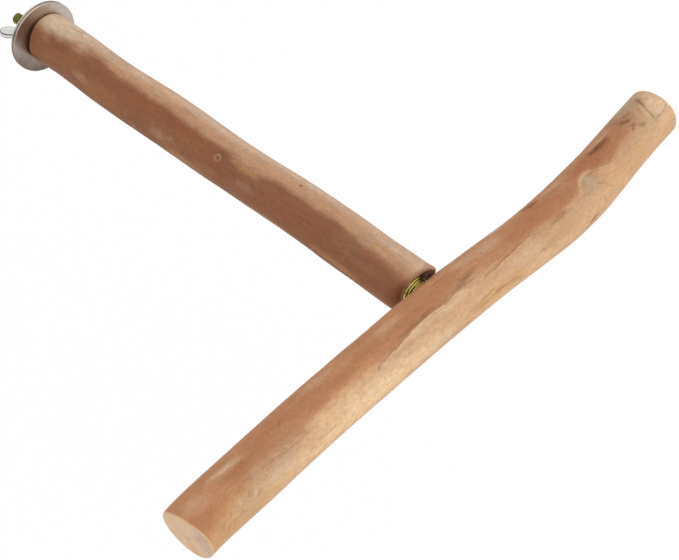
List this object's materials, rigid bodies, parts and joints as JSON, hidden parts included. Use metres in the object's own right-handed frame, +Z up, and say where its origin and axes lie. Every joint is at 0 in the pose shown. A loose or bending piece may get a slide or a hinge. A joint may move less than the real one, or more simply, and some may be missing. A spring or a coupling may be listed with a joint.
{
  "type": "bird perch",
  "caption": "T-shaped natural wood cage perch: a branch stem that clamps to the bars with a wing nut, and a branch crossbar screwed across its front.",
  "frame": {"origin": "centre of the clamp plane between the two washers, on the cage bolt's axis", "axes": "+X along the stem away from the cage, +Y along the crossbar towards the end that rises, +Z up"},
  "size_m": [0.3065, 0.2997, 0.0403],
  "materials": {
    "stem_wood": "bare sanded branch, matt",
    "crossbar_wood": "bare sanded branch, matt",
    "yellow_zinc": "yellow zinc plated",
    "bright_zinc": "bright zinc plated",
    "bright_nickel": "bright nickel plated"
  },
  "bodies": {
    "stem_body": {"stem": "stem_wood", "cage_bolt": "yellow_zinc", "inner_washer": "bright_zinc", "stem_insert": "yellow_zinc"},
    "clamp_washer": {"outer_washer": "bright_zinc"},
    "clamp_nut": {"wing_nut": "bright_nickel"},
    "joint_washer_body": {"joint_washer": "yellow_zinc"},
    "crossbar_body": {"crossbar": "crossbar_wood", "crossbar_bolt": "yellow_zinc", "lock_nut": "yellow_zinc"}
  },
  "joints": [
    {"name": "clamp_travel", "type": "slide", "parent": "stem_body", "child": "clamp_washer", "axis": [-1, 0, 0], "range_m": [0, 0.012]},
    {"name": "wing_nut_turn", "type": "hinge", "parent": "clamp_washer", "child": "clamp_nut", "pos_m": [-0.005, 0, 0], "axis": [-1, 0, 0], "range_deg": [0, 4320]},
    {"name": "crossbar_travel", "type": "slide", "parent": "stem_body", "child": "joint_washer_body", "axis": [1, 0, 0], "range_m": [0, 0.012]},
    {"name": "crossbar_turn", "type": "hinge", "parent": "joint_washer_body", "child": "crossbar_body", "pos_m": [0.255, 0, 0], "axis": [1, 0, 0], "range_deg": [0, 4320]}
  ],
  "couplings": [
    {"joint": "wing_nut_turn", "follows": "clamp_travel", "rad_per_m": 6283.2},
    {"joint": "crossbar_travel", "follows": "crossbar_turn", "m_per_rad": 0.00015915}
  ]
}
